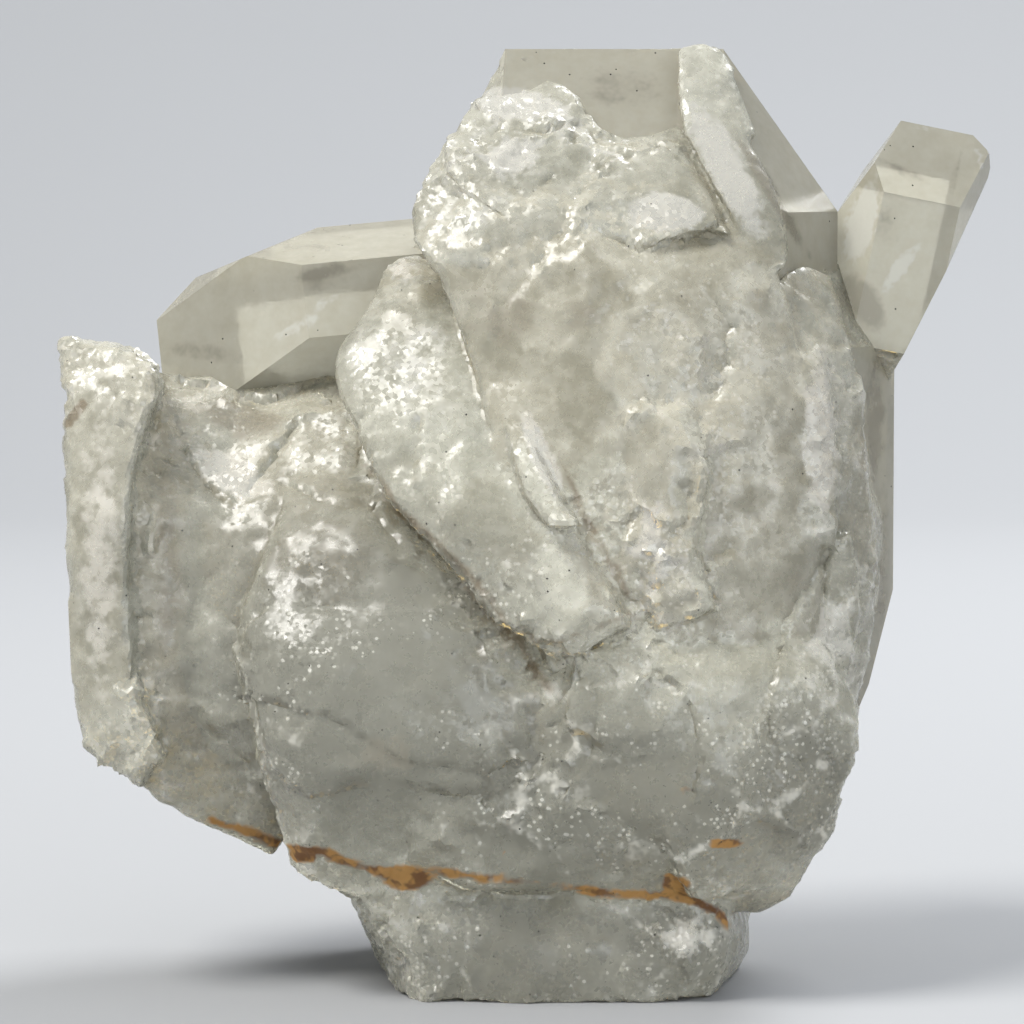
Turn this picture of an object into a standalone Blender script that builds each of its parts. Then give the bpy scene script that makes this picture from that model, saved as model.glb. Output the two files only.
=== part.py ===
"""Quartz cluster: one great ridge-topped crystal with smaller ones grown into it, broken across its front.

The cluster grew as one piece, so every crystal and every broken lump is joined into one solid.
X runs to the right, Y away from the front and Z up. The origin is on the plane it rests on.
Lengths and places are in millimetres. Each object's scale, MM, turns them into metres.
"""

import math

import bmesh
import bpy
from mathutils import Vector, noise
from mathutils.geometry import delaunay_2d_cdt

MM = 0.001

# What drives the whole shape
RHOMB_SLOPE = 38.2      # degrees between a quartz crystal's axis and the faces of its point
BLOCK = 400.0           # the block that a crystal is cut from, larger than any crystal
SAME_PLACE = 0.001      # corners nearer than this are one corner
RESTING_PLANE = 0.0     # height of the flat broken foot
PATTERN = 4             # which random pattern the broken surface takes, never 0

# The facets of a broken surface
FACET = 2.7             # their spacing
ROW_HEIGHT = 0.87       # from one row of them to the next, as a share of the spacing
STRAY = 0.3             # how far a corner strays from its row, as a share of the spacing
STRAY_CHANGE = 0.9      # how soon that changes along the surface, for each millimetre
RIM_GAP = 0.45          # corners nearer the outline than this share of the spacing are left out

# The shell-shaped scars on a broken surface
SCAR = 7.5              # usual width of one
SCAR_DEPTH = 1.1        # how deep they are hollowed
SCAR_WANDER = 0.35      # how far their ridges wander, as a share of a scar
SCAR_RISE = 1.6         # how soon a scar rises to its ridges
MEAN_SCAR = 0.6         # the usual height between the middle, 0, and the ridges, 1
SEED_STEP = 7.3         # how far one seed's scars lie from the next one's

# The sides of a lump, behind its broken face
SIDE_BANDS = 3          # rows of facets
SIDE_WANDER = 0.8       # how far those rows stray from straight
SIDE_CHANGE = 0.17      # how soon that changes, for each millimetre
TAPER = 0.22            # how much narrower the back is than the front
BACK_STEP = 0.13        # no two lumps end in one plane inside the cluster
WALL = 2.0              # the least thickness of a rounded mass, at its outline


def clear_scene():
    for old in list(bpy.data.objects):
        bpy.data.objects.remove(old, do_unlink=True)


def quartz_material():
    material = bpy.data.materials.new("milky_quartz")
    material.use_nodes = True
    shader = material.node_tree.nodes["Principled BSDF"]
    shader.inputs["Base Color"].default_value = (0.70, 0.67, 0.60, 1.0)
    shader.inputs["Roughness"].default_value = 0.22
    shader.inputs["Metallic"].default_value = 0.0
    shader.inputs["IOR"].default_value = 1.54
    return material


def finish(name, mesh, material):
    """Turns the bmesh into a helper: an object that is joined into the cluster and isn't a node."""
    bmesh.ops.recalc_face_normals(mesh, faces=mesh.faces)
    data = bpy.data.meshes.new(name)
    mesh.to_mesh(data)
    mesh.free()
    data.materials.append(material)
    obj = bpy.data.objects.new(name, data)
    obj.scale = (MM, MM, MM)
    bpy.context.scene.collection.objects.link(obj)
    obj.hide_render = True
    obj.display_type = "WIRE"
    return obj


def cut_by(mesh, point, outward):
    """Takes off everything beyond the plane and closes the cut with one flat face."""
    everything = mesh.verts[:] + mesh.edges[:] + mesh.faces[:]
    cut = bmesh.ops.bisect_plane(
        mesh, geom=everything, plane_co=point, plane_no=outward, clear_outer=True)
    rim = [part for part in cut["geom_cut"] if isinstance(part, bmesh.types.BMEdge)]
    if rim:
        bmesh.ops.edgeloop_fill(mesh, edges=rim)
        bmesh.ops.remove_doubles(mesh, verts=mesh.verts, dist=SAME_PLACE)


def six(value):
    """One value for each of a crystal's six faces, from a list of them or from one that they share."""
    return list(value) if isinstance(value, (list, tuple)) else [value] * 6


def crystal(name, material, foot, tip, across, roll=0.0, recess=0.0, slopes=RHOMB_SLOPE,
            lower=None, cuts=()):
    """A six-sided quartz crystal from foot to tip. Its first face looks to the front, but for the roll.

    across is the distance from its axis to each prism face, recess how far under the tip each face of its
    point meets the axis, and slopes the angle of each of those faces to the axis: one number, or six.
    lower is the recess of a second point at the foot. cuts are further (point, outward) planes.
    """
    foot, tip = Vector(foot), Vector(tip)
    axis = (tip - foot).normalized()
    turn = Vector((0, 0, 1)).rotation_difference(axis)
    mesh = bmesh.new()
    bmesh.ops.create_cube(mesh, size=BLOCK)
    bmesh.ops.translate(mesh, vec=(foot + tip) / 2, verts=mesh.verts)
    cut_by(mesh, foot, -axis)
    for side, (width, sunk, slope) in enumerate(zip(six(across), six(recess), six(slopes))):
        angle = math.radians(side * 60 - 90 + roll)
        outward = turn @ Vector((math.cos(angle), math.sin(angle), 0))
        steep = math.radians(slope)
        cut_by(mesh, foot + outward * width, outward)
        cut_by(mesh, tip - axis * sunk, outward * math.cos(steep) + axis * math.sin(steep))
        if lower is not None:
            below = outward * math.cos(steep) - axis * math.sin(steep)
            cut_by(mesh, foot + axis * lower, below)
    for point, outward in cuts:
        cut_by(mesh, Vector(point), Vector(outward).normalized())
    return finish(name, mesh, material)


def along(outline, spacing):
    """The outline's corners with points between them, so that no side is longer than the spacing."""
    points = []
    for start, end in zip(outline, outline[1:] + outline[:1]):
        start, end = Vector(start), Vector(end)
        steps = max(1, round((end - start).length / spacing))
        points += [start.lerp(end, step / steps) for step in range(steps)]
    return points


def distance_to(outline, point):
    """How far a point inside the outline is from the nearest side of it."""
    nearest = BLOCK
    for start, end in zip(outline, outline[1:] + outline[:1]):
        start, side = Vector(start), Vector(end) - Vector(start)
        share = max(0.0, min(1.0, (point - start).dot(side) / side.length_squared))
        nearest = min(nearest, (point - start - side * share).length)
    return nearest


def inside(outline, point):
    within = False
    for (x1, z1), (x2, z2) in zip(outline, outline[1:] + outline[:1]):
        if (z1 > point.y) != (z2 > point.y):
            if point.x < x1 + (x2 - x1) * (point.y - z1) / (z2 - z1):
                within = not within
    return within


def read_depth(depths, z):
    """Depth at a height, straight between the given (height, depth) pairs."""
    for (high, first), (low, second) in zip(depths, depths[1:]):
        if z >= low:
            return second + (first - second) * min(1.0, (z - low) / (high - low))
    return depths[-1][1]


def scars(place, seed):
    """0 in the middle of a shell-shaped scar and about 1 on the ridges between scars."""
    place = place / SCAR + Vector((0.0, seed * SEED_STEP, 0.0))
    place += SCAR_WANDER * noise.noise_vector(place * 0.8)
    nearest = noise.voronoi(place)[0][0]
    return min(1.0, nearest * nearest * SCAR_RISE)


def fill_outline(outline, spacing, seed):
    """Triangles that fill an outline: the points, how many of them lie on the outline, and the faces."""
    ring = along(outline, spacing)
    x_low, x_high = min(p.x for p in ring), max(p.x for p in ring)
    z_low, z_high = min(p.y for p in ring), max(p.y for p in ring)
    flat = list(ring)
    row_height = spacing * ROW_HEIGHT
    for row in range(int((z_high - z_low) / row_height) + 1):
        for column in range(int((x_high - x_low) / spacing) + 2):
            point = Vector((x_low + (column - 0.5 * (row % 2)) * spacing, z_low + row * row_height))
            stray = noise.noise_vector(Vector((point.x, seed * 3.1, point.y)) * STRAY_CHANGE)
            point += Vector((stray.x, stray.z)) * spacing * STRAY
            if inside(outline, point) and distance_to(outline, point) > spacing * RIM_GAP:
                flat.append(point)
    sides = [(n, (n + 1) % len(ring)) for n in range(len(ring))]
    points, _, faces, _, _, _ = delaunay_2d_cdt(flat, sides, [], 1, SAME_PLACE / 100)
    return points, len(ring), faces


def band_between(mesh, front, back):
    """Joins two rings of as many points with a band of faces."""
    for n in range(len(front)):
        after = (n + 1) % len(front)
        mesh.faces.new((front[n], front[after], back[after]))
        mesh.faces.new((front[n], back[after], back[n]))


def broken_lump(name, material, outline, depths, back, bow=0.0, lean=0.0, rim=2.5, drop=1.2,
                seed=0, roughness=1.0, spacing=FACET, taper=TAPER):
    """A lump with a broken face, cut to an outline of (x, z) corners as it is seen from the front.

    depths are (height, y) pairs down the face. bow is how far its sides fall back behind its middle, and
    lean how much it falls back for each millimetre to the right. Within rim of the outline it drops back.
    Behind the face its sides run back to the depth back and draw in by the share taper.
    """
    points, on_ring, faces = fill_outline(outline, spacing, seed)
    x_low, x_high = min(p.x for p in points), max(p.x for p in points)
    middle, half = (x_low + x_high) / 2, (x_high - x_low) / 2
    centre = sum((Vector(corner) for corner in outline), Vector((0, 0))) / len(outline)
    back += seed * BACK_STEP

    def face_depth(point):
        edge = 1.0 - min(1.0, distance_to(outline, point) / rim)
        fallen = bow * ((point.x - middle) / half) ** 2 + drop * edge * edge
        raised = roughness * SCAR_DEPTH * scars(Vector((point.x, 0.0, point.y)), seed)
        return read_depth(depths, point.y) + lean * (point.x - middle) + fallen - raised

    def drawn_in(point, share, depth):
        moved = centre + (point - centre) * (1.0 - taper * share ** 1.5)
        stray = noise.noise_vector(Vector((moved.x, depth, moved.y)) * SIDE_CHANGE) * SIDE_WANDER
        return (moved.x + stray.x, depth, moved.y + stray.z)

    mesh = bmesh.new()
    front = [mesh.verts.new((p.x, face_depth(p), p.y)) for p in points]
    last = front[:on_ring]
    for band in range(1, SIDE_BANDS):
        share = band / SIDE_BANDS
        ring = [mesh.verts.new(drawn_in(p, share, v.co.y + (back - v.co.y) * share))
                for p, v in zip(points, front[:on_ring])]
        band_between(mesh, last, ring)
        last = ring
    behind = [mesh.verts.new(drawn_in(p, 1.0, back)) for p in points]
    band_between(mesh, last, behind[:on_ring])
    for face in faces:
        mesh.faces.new([front[n] for n in face])
        mesh.faces.new([behind[n] for n in reversed(face)])
    return finish(name, mesh, material)


def rounded_mass(name, material, outline, front_depths, back_depths, middle, round_off, seed,
                 roughness=1.0, spacing=FACET):
    """A broken mass with an outline of (x, z) corners, rounded off all the way to the outline on both sides.

    The depths are (height, y) pairs, and round_off is how far in from the outline they are reached.
    """
    points, on_ring, faces = fill_outline(outline, spacing, seed)

    def swelling(point, depths, edge):
        inward = 1.0 - min(1.0, distance_to(outline, point) / round_off)
        return edge + (read_depth(depths, point.y) - edge) * math.sqrt(1.0 - inward * inward)

    mesh = bmesh.new()
    front = [mesh.verts.new((p.x, swelling(p, front_depths, middle - WALL / 2), p.y)) for p in points]
    behind = [mesh.verts.new((p.x, swelling(p, back_depths, middle + WALL / 2), p.y)) for p in points]
    for face in faces:
        mesh.faces.new([front[n] for n in face])
        mesh.faces.new([behind[n] for n in reversed(face)])
    band_between(mesh, front[:on_ring], behind[:on_ring])
    bmesh.ops.recalc_face_normals(mesh, faces=mesh.faces)
    mesh.normal_update()
    moves = [(v, v.normal * roughness * SCAR_DEPTH * (scars(v.co, seed) - MEAN_SCAR)) for v in mesh.verts]
    for vertex, move in moves:
        vertex.co += move
    return finish(name, mesh, material)


def crystals(material):
    """The crystals whose own flat faces still show."""
    great = crystal(
        "great_crystal", material, foot=(9.0, 1.0, 13.0), tip=(9.0, 1.0, 79.9),
        across=[11.5, 16.7, 16.7, 16.5, 15.2, 15.2],
        recess=[0.0, -13.1, -13.1, 0.0, -18.4, -18.4],
        slopes=[RHOMB_SLOPE, 31.6, 31.6, RHOMB_SLOPE, 24.3, 24.3],
        cuts=[((27.0, 0, 18.5), (1.0, 0, -0.7)), ((9.0, 17.5, 24.0), (0.0, 1.0, -0.8))])
    shoulder = crystal(
        "shoulder_crystal", material, foot=(22.0, 3.0, 20.0), tip=(22.0, 3.0, 66.0),
        across=[9.4, 9.9, 9.9, 10.4, 9.0, 9.0], recess=[-3.0, -6.7, -6.7, -1.0, -20.0, -20.0],
        slopes=[RHOMB_SLOPE, 28.2, 28.2, RHOMB_SLOPE, RHOMB_SLOPE, RHOMB_SLOPE],
        cuts=[((33.2, 0, 32.0), (1.0, 0, -0.30)), ((31.5, 0, 25.7), (1.0, 0, -0.52))])
    leaning = crystal(
        "leaning_crystal", material, foot=(30.9, 5.0, 47.0), tip=(36.4, 3.2, 73.5),
        across=[5.0, 5.3, 5.3, 5.0, 5.6, 5.6], roll=6.0,
        recess=[0.0, -5.2, -4.0, 0.5, -3.6, -5.0], lower=1.0,
        cuts=[((40.9, 0, 67.3), (0.894, 0, -0.447)), ((30.9, 0, 69.4), (-0.825, 0, 0.565))])
    reclining = crystal(
        "reclining_crystal", material, foot=(6.0, 9.0, 58.2), tip=(-35.5, 4.5, 54.4),
        across=[9.5, 7.5, 7.0, 9.0, 8.5, 7.6], roll=20.0,
        recess=[5.0, 3.0, 2.4, 4.0, -2.5, -4.0],
        cuts=[((-21.5, 0, 62.6), (-0.38, 0, 0.925)), ((-21.5, 16.0, 62.6), (-0.35, 0.25, 0.9))])
    back_tall = crystal(
        "back_tall_crystal", material, foot=(13.0, 6.0, 12.0), tip=(20.5, 25.5, 60.5),
        across=[8.0, 7.4, 8.2, 7.0, 7.8, 7.2], roll=12.0, recess=[0.0, -2.0, 1.5, 0.0, -1.0, 2.0])
    back_low = crystal(
        "back_low_crystal", material, foot=(-9.0, 4.0, 14.0), tip=(-23.0, 25.5, 43.5),
        across=[6.2, 5.8, 6.6, 6.0, 5.6, 6.4], roll=25.0, recess=[0.0, 1.0, -1.5, 0.5, 0.0, -1.0])
    back_small = crystal(
        "back_small_crystal", material, foot=(0.0, 8.0, 12.0), tip=(-2.0, 27.5, 33.0),
        across=[4.4, 4.8, 4.2, 4.6, 4.4, 4.8], roll=8.0, recess=[0.0, -1.0, 0.5, 0.0, 1.0, -0.5])
    return [great, shoulder, leaning, reclining, back_tall, back_low, back_small]


def left_slab(material):
    """The upright slab at the left edge, with the step between it and the hollow beside it."""
    outline = [(-38.9, 55.3), (-35.6, 54.9), (-32.6, 54.3), (-30.0, 53.2), (-29.8, 51.8), (-30.9, 48.0),
               (-32.0, 44.0), (-32.3, 36.0), (-32.0, 30.0), (-31.2, 25.0), (-29.6, 19.8), (-31.4, 16.9),
               (-36.3, 20.9), (-37.2, 24.0), (-37.7, 36.0), (-38.2, 46.0)]
    return broken_lump("left_slab", material, outline, [(55.0, -8.0), (40.0, -13.5), (18.0, -14.5)],
                       back=9.0, lean=-0.32, rim=1.2, drop=0.7, seed=1, roughness=0.5)


def left_hollow(material):
    """The smooth hollow between the slab and the lower lobe. It tips back to a lip at its top."""
    outline = [(-32.5, 51.4), (-29.5, 51.9), (-25.0, 51.3), (-21.2, 50.8), (-18.0, 51.8), (-14.5, 51.5),
               (-13.0, 46.0), (-14.0, 41.0), (-19.0, 30.0), (-18.0, 14.0), (-20.5, 10.6), (-24.3, 12.6),
               (-26.6, 13.6), (-29.8, 15.4), (-32.2, 17.6), (-34.2, 19.4), (-34.0, 34.0), (-33.5, 45.0)]
    return broken_lump("left_hollow", material, outline,
                       [(52.0, 1.5), (47.5, -4.0), (41.0, -10.0), (28.0, -12.0), (11.0, -9.5)],
                       back=12.0, bow=-2.5, lean=-0.05, seed=2, roughness=0.8)


def lower_lobe(material):
    """The rounded lobe at the lower left, one ledge proud of the hollow beside it."""
    outline = [(-19.0, 43.0), (-17.4, 43.5), (-11.6, 43.0), (-10.0, 41.0), (-6.0, 37.0), (0.0, 32.0),
               (4.0, 28.0), (6.0, 18.0), (5.0, 8.0), (-3.0, 7.4), (-9.6, 7.9), (-14.4, 8.6), (-18.4, 10.6),
               (-19.8, 15.5), (-21.3, 20.0), (-22.4, 25.0), (-23.0, 29.0), (-22.7, 32.6), (-21.3, 36.0),
               (-19.6, 40.0)]
    return broken_lump("lower_lobe", material, outline,
                       [(43.5, -11.5), (38.0, -17.0), (31.0, -20.2), (20.0, -22.0), (7.0, -17.5)],
                       back=4.0, bow=2.2, rim=3.5, drop=1.6, seed=3, roughness=0.7)


def lower_lobe_ledge(material):
    """A thin sheet that stands on the lower half of the lobe, where it split along a crack."""
    outline = [(-22.4, 31.8), (-19.5, 33.2), (-14.0, 32.6), (-8.0, 33.2), (-2.5, 31.4), (3.0, 28.0),
               (3.5, 19.5), (-3.0, 17.4), (-10.0, 19.0), (-17.0, 17.6), (-20.6, 20.5), (-21.6, 25.0)]
    return broken_lump("lower_lobe_ledge", material, outline,
                       [(33.0, -20.4), (26.0, -22.4), (17.0, -23.0)],
                       back=4.0, bow=2.2, rim=2.0, drop=0.9, seed=4, roughness=0.6)


def great_front(material):
    """The great crystal's broken front, under the ragged edge of its one whole face."""
    outline = [(-8.6, 63.5), (-8.6, 66.6), (-7.0, 69.4), (-5.2, 72.4), (-4.0, 74.4), (-2.8, 76.0),
               (-1.2, 76.5), (1.5, 76.3), (3.0, 77.2), (4.3, 76.9), (5.8, 75.9), (6.4, 74.4), (7.8, 73.0),
               (9.6, 72.2), (11.6, 72.3), (14.2, 73.2), (17.5, 69.5), (20.0, 65.0), (23.0, 59.0),
               (25.4, 50.0), (26.4, 42.0), (26.0, 33.0), (24.0, 26.0), (16.0, 26.0), (8.0, 29.0),
               (4.0, 34.0), (0.0, 42.0), (-3.0, 52.0), (-6.0, 60.0)]
    return broken_lump("great_front", material, outline,
                       [(77.2, -1.6), (72.0, -6.2), (66.0, -11.4), (60.0, -14.8), (50.0, -17.9),
                        (38.0, -20.2), (26.0, -20.8)],
                       back=2.0, bow=3.6, lean=0.05, rim=1.2, drop=0.5, seed=5, roughness=0.8)


def front_chips(material):
    """Flakes that still stand on the great crystal's front, each with a sharp lower edge."""
    outlines = {
        "upper_left_chip": ([(-3.4, 75.6), (4.0, 76.4), (6.2, 74.4), (7.4, 72.4), (5.6, 68.6), (4.4, 66.2),
                             (0.6, 65.2), (-2.6, 66.6), (-5.4, 69.6), (-5.4, 71.8)],
                            [(76.5, -2.6), (70.0, -8.6), (65.0, -12.8)]),
        "upper_right_chip": ([(7.6, 71.6), (14.0, 72.0), (16.4, 68.2), (18.4, 64.0), (14.6, 64.2),
                              (11.4, 62.4), (9.4, 65.4), (7.0, 67.0)],
                             [(72.0, -7.2), (67.0, -11.6), (62.0, -14.6)]),
        "middle_chip": ([(9.4, 50.0), (15.0, 49.4), (16.6, 44.6), (15.4, 38.0), (17.0, 33.0), (12.2, 31.6),
                         (8.8, 35.8), (10.0, 42.0)],
                        [(50.0, -18.9), (41.0, -20.9), (31.0, -21.7)]),
    }
    return [broken_lump(name, material, outline, depths, back=2.0, rim=1.4, drop=0.6,
                        seed=20 + number, roughness=0.5)
            for number, (name, (outline, depths)) in enumerate(outlines.items())]


def inclined_crystal(material):
    """The crystal that lies up against the front: two broad faces that meet on a low crest, and a rim."""
    outline = [(-11.0, 61.2), (-8.6, 62.2), (-6.2, 61.4), (-4.6, 58.6), (-2.6, 55.0), (-1.0, 50.4),
               (0.8, 47.0), (3.0, 43.4), (5.0, 40.0), (7.2, 36.4), (10.0, 31.6), (7.6, 30.6), (5.8, 29.2),
               (3.6, 29.0), (-2.0, 32.6), (-4.6, 36.0), (-7.8, 39.4), (-10.8, 42.2), (-12.4, 46.2),
               (-14.4, 50.0), (-15.2, 52.4), (-14.8, 54.6), (-12.0, 58.2)]
    return broken_lump("inclined_crystal", material, outline,
                       [(62.2, -5.5), (57.0, -11.5), (50.0, -16.2), (42.0, -20.0), (34.0, -22.6),
                        (29.0, -23.4)],
                       back=2.0, bow=0.6, lean=-0.12, rim=1.6, drop=1.1, seed=6, roughness=0.45)


def inclined_crystal_bar(material):
    """The narrow bright bar that stands along the inclined crystal's right side."""
    outline = [(-0.8, 48.6), (0.9, 48.4), (3.4, 43.8), (5.4, 40.2), (3.0, 40.0), (1.0, 42.6)]
    return broken_lump("inclined_crystal_bar", material, outline,
                       [(49.0, -18.9), (44.0, -21.4), (40.0, -23.0)],
                       back=2.0, lean=-0.25, rim=0.8, drop=0.3, seed=7, roughness=0.15)


def lower_front(material):
    """The lumpy middle of the foot, under the great crystal."""
    outline = [(1.0, 30.5), (6.0, 30.0), (12.0, 31.0), (19.0, 31.6), (26.0, 30.0), (29.5, 24.5), (28.9, 21.0),
               (27.8, 18.0), (27.0, 14.0), (25.4, 11.6), (23.6, 8.2), (21.0, 6.8), (15.0, 7.4), (9.0, 7.2),
               (3.0, 7.8), (-2.0, 9.0), (0.0, 20.0)]
    return broken_lump("lower_front", material, outline,
                       [(31.5, -19.4), (25.0, -22.2), (16.0, -22.4), (6.8, -17.4)],
                       back=4.0, bow=4.0, lean=0.04, rim=3.0, drop=1.4, seed=8, roughness=1.1)


def lower_front_ledges(material):
    """Sheets that overlap like shingles across the foot, from the middle to the right."""
    outlines = {
        "middle_ledge": ([(-9.0, 17.6), (-2.6, 17.6), (2.6, 19.4), (7.0, 20.6), (12.0, 17.6),
                          (11.0, 11.0), (4.0, 9.0), (-4.0, 9.4), (-8.6, 12.0)],
                         [(20.0, -22.6), (9.0, -20.0)], 0.0),
        "right_ledge": ([(15.0, 24.0), (21.0, 26.4), (25.6, 22.0), (25.4, 15.0), (22.0, 9.4), (15.0, 8.8),
                         (12.6, 14.0)],
                        [(26.0, -21.6), (17.0, -22.6), (9.0, -19.4)], 0.30),
        "upper_ledge": ([(5.0, 29.6), (11.0, 30.6), (17.4, 27.6), (16.0, 22.0), (9.0, 20.6), (4.4, 23.6)],
                        [(30.6, -21.6), (21.0, -23.4)], 0.05),
    }
    return [broken_lump(name, material, outline, depths, back=2.0, lean=lean, rim=1.6, drop=0.8,
                        seed=30 + number, roughness=0.5)
            for number, (name, (outline, depths, lean)) in enumerate(outlines.items())]


def right_column(material):
    """The broken, upright edge right of the great crystal's front. It turns back to the whole faces."""
    outline = [(22.6, 60.0), (25.0, 61.6), (27.6, 60.4), (28.6, 56.0), (29.6, 50.0), (30.4, 43.0),
               (31.0, 36.0), (30.6, 28.0), (29.4, 23.6), (27.8, 18.6), (25.0, 16.0), (23.6, 22.0),
               (23.4, 30.0), (25.0, 38.0), (25.6, 46.0), (24.8, 54.0)]
    return broken_lump("right_column", material, outline,
                       [(61.6, -5.5), (54.0, -10.8), (44.0, -13.8), (30.0, -15.0), (16.0, -12.0)],
                       back=4.0, lean=0.75, rim=1.4, drop=0.8, seed=9, roughness=0.8)


def column_ribs(material):
    """Upright ribs along the column, as thin as blades."""
    outlines = {
        "long_rib": ([(22.6, 60.2), (25.6, 58.0), (27.0, 50.0), (27.4, 44.0), (27.0, 38.0), (25.2, 38.0),
                      (24.6, 45.0), (23.4, 53.0)],
                     [(59.5, -9.0), (50.0, -14.4), (38.0, -16.8)]),
        "short_rib": ([(26.6, 38.0), (28.4, 39.0), (29.2, 32.0), (28.4, 25.0), (26.8, 27.0), (26.2, 33.0)],
                      [(39.0, -15.6), (25.0, -15.6)]),
    }
    return [broken_lump(name, material, outline, depths, back=2.0, lean=0.35, rim=0.8, drop=0.4,
                        seed=40 + number, roughness=0.3)
            for number, (name, (outline, depths)) in enumerate(outlines.items())]


def top_blade(material):
    """The pale, lens-shaped flake scar that runs down from the top right corner."""
    outline = [(14.2, 80.1), (17.9, 80.3), (18.7, 78.6), (19.6, 76.0), (20.9, 72.6), (20.2, 71.8),
               (22.0, 68.6), (23.2, 65.0), (23.4, 61.6), (22.0, 60.6), (19.4, 63.8), (17.0, 68.0),
               (14.6, 72.4), (14.2, 75.0)]
    return broken_lump("top_blade", material, outline,
                       [(80.3, -0.6), (74.0, -6.0), (67.0, -10.8), (60.5, -13.2)],
                       back=3.0, lean=0.30, rim=0.8, drop=0.3, seed=10, roughness=0.15)


def foot_layer(material):
    """The thin layer below the rusty seam, cut flat where the cluster rests."""
    outline = [(-22.0, 15.0), (-19.4, 10.4), (-16.4, 8.4), (-14.0, 6.2), (-12.4, 3.0), (-11.4, -1.0),
               (-8.0, -7.0), (16.0, -7.0), (19.4, -1.0), (20.6, 1.8), (21.2, 4.7), (21.8, 7.0),
               (23.0, 12.0), (14.0, 18.0), (-14.0, 18.0)]
    return rounded_mass("foot_layer", material, outline,
                        [(12.0, -16.0), (7.5, -19.0), (4.5, -20.4), (-7.0, -19.4)],
                        [(12.0, 16.0), (-7.0, 14.5)],
                        middle=-1.0, round_off=5.0, seed=11, roughness=1.0)


def core(material):
    """The mass that everything has grown from. It shows in the gaps, at the right and at the broken back."""
    outline = [(-31.0, 46.0), (-24.0, 49.4), (-14.0, 52.0), (-8.0, 60.0), (20.0, 60.0), (29.6, 53.0),
               (31.4, 44.0), (32.0, 36.0), (31.8, 31.0), (30.9, 26.0), (29.0, 22.0), (27.3, 17.8),
               (26.4, 13.6), (24.6, 11.2), (23.2, 8.2), (21.2, 6.6), (10.0, 6.4), (-9.0, 6.9), (-14.8, 7.7),
               (-17.8, 9.3), (-20.9, 10.9), (-26.0, 13.8), (-30.4, 17.0), (-33.4, 24.0), (-34.0, 38.0)]
    return rounded_mass("core", material, outline,
                        [(60.0, -4.0), (50.0, -8.0), (40.0, -13.0), (28.0, -15.5), (6.0, -15.0)],
                        [(58.0, 11.0), (46.0, 16.0), (28.0, 20.0), (14.0, 19.0), (6.0, 17.0)],
                        middle=1.5, round_off=15.0, seed=12, roughness=1.3)


def ground_cutter(material):
    """Everything under the resting plane, which is taken off to leave the flat foot."""
    mesh = bmesh.new()
    bmesh.ops.create_cube(mesh, size=BLOCK)
    bmesh.ops.translate(mesh, vec=(0, 0, RESTING_PLANE - BLOCK / 2), verts=mesh.verts)
    return finish("ground_cutter", mesh, material)


def shells(mesh):
    """The separate closed surfaces of a bmesh, each as a list of its faces."""
    waiting, found = set(mesh.faces), []
    while waiting:
        shell = [waiting.pop()]
        for face in shell:
            for edge in face.edges:
                for neighbour in edge.link_faces:
                    if neighbour in waiting:
                        waiting.remove(neighbour)
                        shell.append(neighbour)
        found.append(shell)
    return found


def fill_pockets(data):
    """Keeps only the outermost surface, so that a gap left between joined pieces becomes solid."""
    mesh = bmesh.new()
    mesh.from_mesh(data)
    pockets = sorted(shells(mesh), key=len)[:-1]
    bmesh.ops.delete(mesh, geom=[face for shell in pockets for face in shell], context="FACES")
    mesh.to_mesh(data)
    mesh.free()


def join(name, base, pieces, cutter):
    """One solid from the base and every piece, cut off at the ground."""
    cluster = bpy.data.objects.new(name, base.data.copy())
    cluster.scale = (MM, MM, MM)
    bpy.context.scene.collection.objects.link(cluster)
    for piece, operation in [(p, "UNION") for p in pieces] + [(cutter, "DIFFERENCE")]:
        boolean = cluster.modifiers.new(piece.name, "BOOLEAN")
        boolean.operation = operation
        boolean.solver = "EXACT"
        boolean.object = piece
    joined = cluster.evaluated_get(bpy.context.evaluated_depsgraph_get())
    solid = bpy.data.meshes.new_from_object(joined)
    cluster.modifiers.clear()
    cluster.data = solid
    fill_pockets(solid)
    for helper in [base, cutter] + pieces:
        bpy.data.objects.remove(helper, do_unlink=True)
    return cluster


def build():
    clear_scene()
    noise.seed_set(PATTERN)
    quartz = quartz_material()
    base = core(quartz)
    pieces = [left_hollow(quartz), left_slab(quartz), lower_lobe(quartz), lower_lobe_ledge(quartz),
              great_front(quartz), inclined_crystal(quartz), inclined_crystal_bar(quartz),
              lower_front(quartz), right_column(quartz), top_blade(quartz), foot_layer(quartz)]
    pieces += crystals(quartz) + front_chips(quartz) + lower_front_ledges(quartz) + column_ribs(quartz)
    join("quartz_cluster", base, pieces, ground_cutter(quartz))


build()
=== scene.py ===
# %% [markdown]
# # A quartz cluster with a broken front
#
# Quartz grows as six-sided crystals that end in slanting faces. This cluster is one great crystal with smaller
# ones grown into it. Some faces are whole, flat and clear. Most of the front is broken, and broken quartz looks quite
# different: milky, with shell-shaped hollows, sharp little steps and thousands of glints.
#
# The imported solid already has the crystals, lobes and ledges. This script refines a copy of it in four steps: finer
# triangles, softer broken parts, a field of small tilted facets, and masks for rust, dirt, milkiness and painted shade
# that the materials read.

# %% Load the imported solid
import math

import bmesh
import bpy
import numpy as np
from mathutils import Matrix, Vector, noise


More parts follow.
